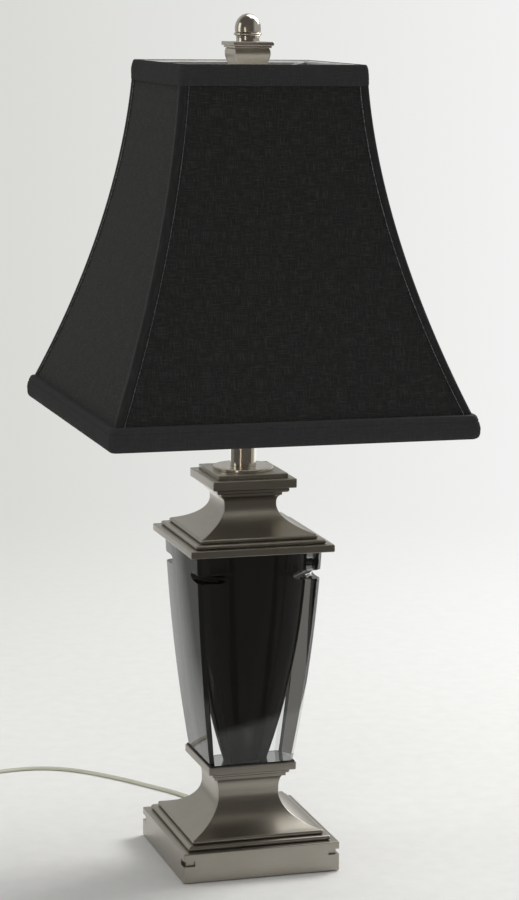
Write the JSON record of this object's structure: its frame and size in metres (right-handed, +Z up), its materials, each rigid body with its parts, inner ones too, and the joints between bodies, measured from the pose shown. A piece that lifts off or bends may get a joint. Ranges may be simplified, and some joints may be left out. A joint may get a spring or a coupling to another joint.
{
  "type": "table lamp",
  "caption": "Square table lamp with stepped metal foot and cap, tapered clear crystal block round a black core, and a square bell shade on a harp.",
  "frame": {"origin": "middle of the foot's underside, on the table", "axes": "+Z up along the stem, -Y towards the front, where the switch knob is, +X to the right seen from the front"},
  "size_m": [0.4265, 0.4531, 0.7346],
  "materials": {
    "nickel": "satin, cast and brushed",
    "polished_nickel": "polished, slightly warm",
    "steel": "plain",
    "cast_ballast": "rough",
    "felt": "felt",
    "crystal": "clear, polished",
    "black_glass": "opaque black, polished",
    "gasket": "matt",
    "brass": "lacquered",
    "black_plastic": "satin",
    "white_card": "matt",
    "bulb_glass": "frosted",
    "bulb_metal": "rolled",
    "shade_fabric": "fine woven",
    "shade_lining": "pale, smooth",
    "clear_vinyl": "clear over bright strands",
    "wire_cover": "satin"
  },
  "bodies": {
    "base": {"felt_pad": "felt", "cover_plate": "steel", "ballast_weight": "cast_ballast", "foot_casting": "nickel", "cord_bushing": "clear_vinyl", "threaded_rod": "steel", "bottom_washer": "steel", "lock_washer": "steel", "bottom_nut": "brass", "lead_wires": "wire_cover", "lower_gasket": "gasket", "crystal_body": "crystal", "crystal_core": "black_glass", "upper_gasket": "gasket", "cap_casting": "nickel", "check_ring": "polished_nickel", "neck_tube": "polished_nickel", "harp_saddle": "brass", "socket_cap": "brass", "socket_shell": "brass", "socket_liner": "white_card", "switch_block": "black_plastic", "screw_shell": "bulb_metal", "centre_contact": "brass", "harp_feet": "brass", "harp_sides": "brass", "harp_crown": "brass", "harp_seat": "brass", "cord_run": "clear_vinyl", "cord_coil": "clear_vinyl", "plug_body": "clear_vinyl", "plug_blades": "brass"},
    "switch_knob": {"switch_knob": "black_plastic"},
    "bulb": {"bulb_glass": "bulb_glass", "bulb_base": "bulb_metal"},
    "ferrule_left": {"ferrule_left": "brass"},
    "ferrule_right": {"ferrule_right": "brass"},
    "shade": {"shade_top_ring": "steel", "shade_foot_ring": "steel", "shade_ribs": "steel", "shade_spider": "steel", "fabric_front": "shade_fabric", "fabric_right": "shade_fabric", "fabric_back": "shade_fabric", "fabric_left": "shade_fabric", "shade_lining": "shade_lining", "shade_top_trim": "shade_fabric", "shade_foot_trim": "shade_fabric", "shade_corner_trims": "shade_fabric"},
    "finial": {"finial_cup": "polished_nickel", "finial_knob": "polished_nickel"}
  },
  "joints": [
    {"name": "shade_swivel", "type": "hinge", "parent": "base", "child": "shade", "pos_m": [0, 0, 0.6859], "axis": [0, 0, 1], "continuous": true},
    {"name": "finial_turn", "type": "hinge", "parent": "base", "child": "finial", "pos_m": [0, 0, 0.7], "axis": [0, 0, 1], "continuous": true},
    {"name": "switch_knob_turn", "type": "hinge", "parent": "base", "child": "switch_knob", "pos_m": [0, -0.02, 0.4633], "axis": [0, -1, 0], "continuous": true},
    {"name": "bulb_turn", "type": "hinge", "parent": "base", "child": "bulb", "pos_m": [0, 0, 0.5], "axis": [0, 0, 1], "continuous": true},
    {"name": "ferrule_left_lift", "type": "slide", "parent": "base", "child": "ferrule_left", "axis": [0, 0, 1], "range_m": [0, 0.012]},
    {"name": "ferrule_right_lift", "type": "slide", "parent": "base", "child": "ferrule_right", "axis": [0, 0, 1], "range_m": [0, 0.012]}
  ]
}
